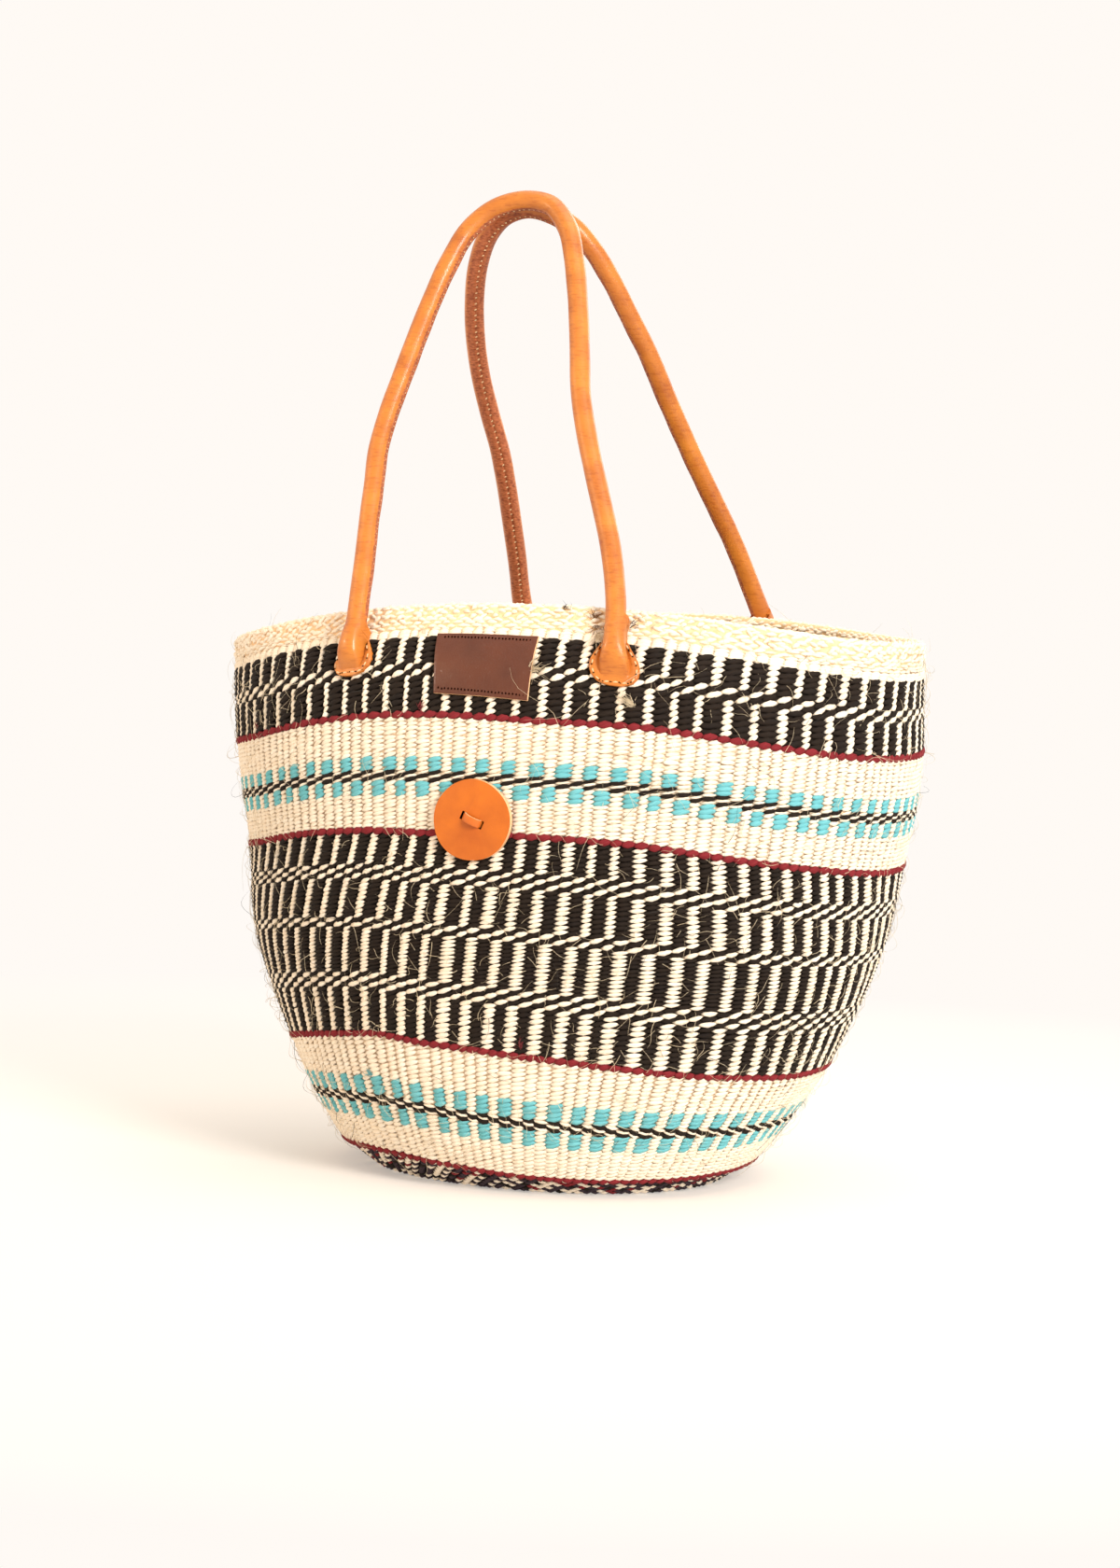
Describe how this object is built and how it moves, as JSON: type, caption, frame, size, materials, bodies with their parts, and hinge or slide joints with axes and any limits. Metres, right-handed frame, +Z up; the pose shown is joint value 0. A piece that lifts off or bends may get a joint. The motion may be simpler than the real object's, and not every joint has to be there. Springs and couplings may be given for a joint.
{
  "type": "kiondo basket",
  "caption": "Oval hand-woven sisal basket with striped bands, a turned rim, two long round leather handles on stitched tabs, a leather label and a button.",
  "frame": {"origin": "centre of the flat woven base, on the surface that the basket stands on", "axes": "+Z up through the mouth, the front with the label and button towards -Y, +X to the right seen from the front"},
  "size_m": [0.3878, 0.2934, 0.5255],
  "materials": {
    "cream_sisal": "matte twined plant fibre",
    "striped_sisal": "matte twined plant fibre, black and cream",
    "red_yarn": "matte yarn",
    "base_yarn": "matte yarn, dark blue, dark red and cream",
    "tan_leather": "smooth, softly glossy",
    "brown_leather": "satin",
    "orange_leather": "satin with a pale cut edge",
    "core_fibre": "twisted plant fibre"
  },
  "bodies": {
    "basket": {"woven_base": "base_yarn", "base_red_row": "red_yarn", "lower_cream_band": "cream_sisal", "lower_red_row": "red_yarn", "main_striped_band": "striped_sisal", "middle_red_row": "red_yarn", "upper_cream_band": "cream_sisal", "upper_red_row": "red_yarn", "top_striped_band": "striped_sisal", "rim_hem": "cream_sisal", "front_left_tab": "tan_leather", "front_right_tab": "tan_leather", "back_left_tab": "tan_leather", "back_right_tab": "tan_leather", "label_patch": "brown_leather"},
    "front_handle": {"front_handle_sleeve": "tan_leather", "front_handle_core": "core_fibre"},
    "back_handle": {"back_handle_sleeve": "tan_leather", "back_handle_core": "core_fibre"},
    "button": {"button_disc": "orange_leather", "button_thong": "orange_leather", "thong_knot": "orange_leather"}
  },
  "joints": [
    {"name": "front_handle_swing", "type": "hinge", "parent": "basket", "child": "front_handle", "pos_m": [-0.00743, -0.12383, 0.29847], "axis": [0.9989, -0.0059, 0.0475], "range_deg": [0, 165]},
    {"name": "back_handle_swing", "type": "hinge", "parent": "basket", "child": "back_handle", "pos_m": [-0.01273, 0.1226, 0.29633], "axis": [-0.9983, -0.0201, -0.0553], "range_deg": [0, 165]},
    {"name": "button_pull", "type": "slide", "parent": "basket", "child": "button", "axis": [0.0081, -1, -0.003], "range_m": [0, 0.0042]}
  ]
}
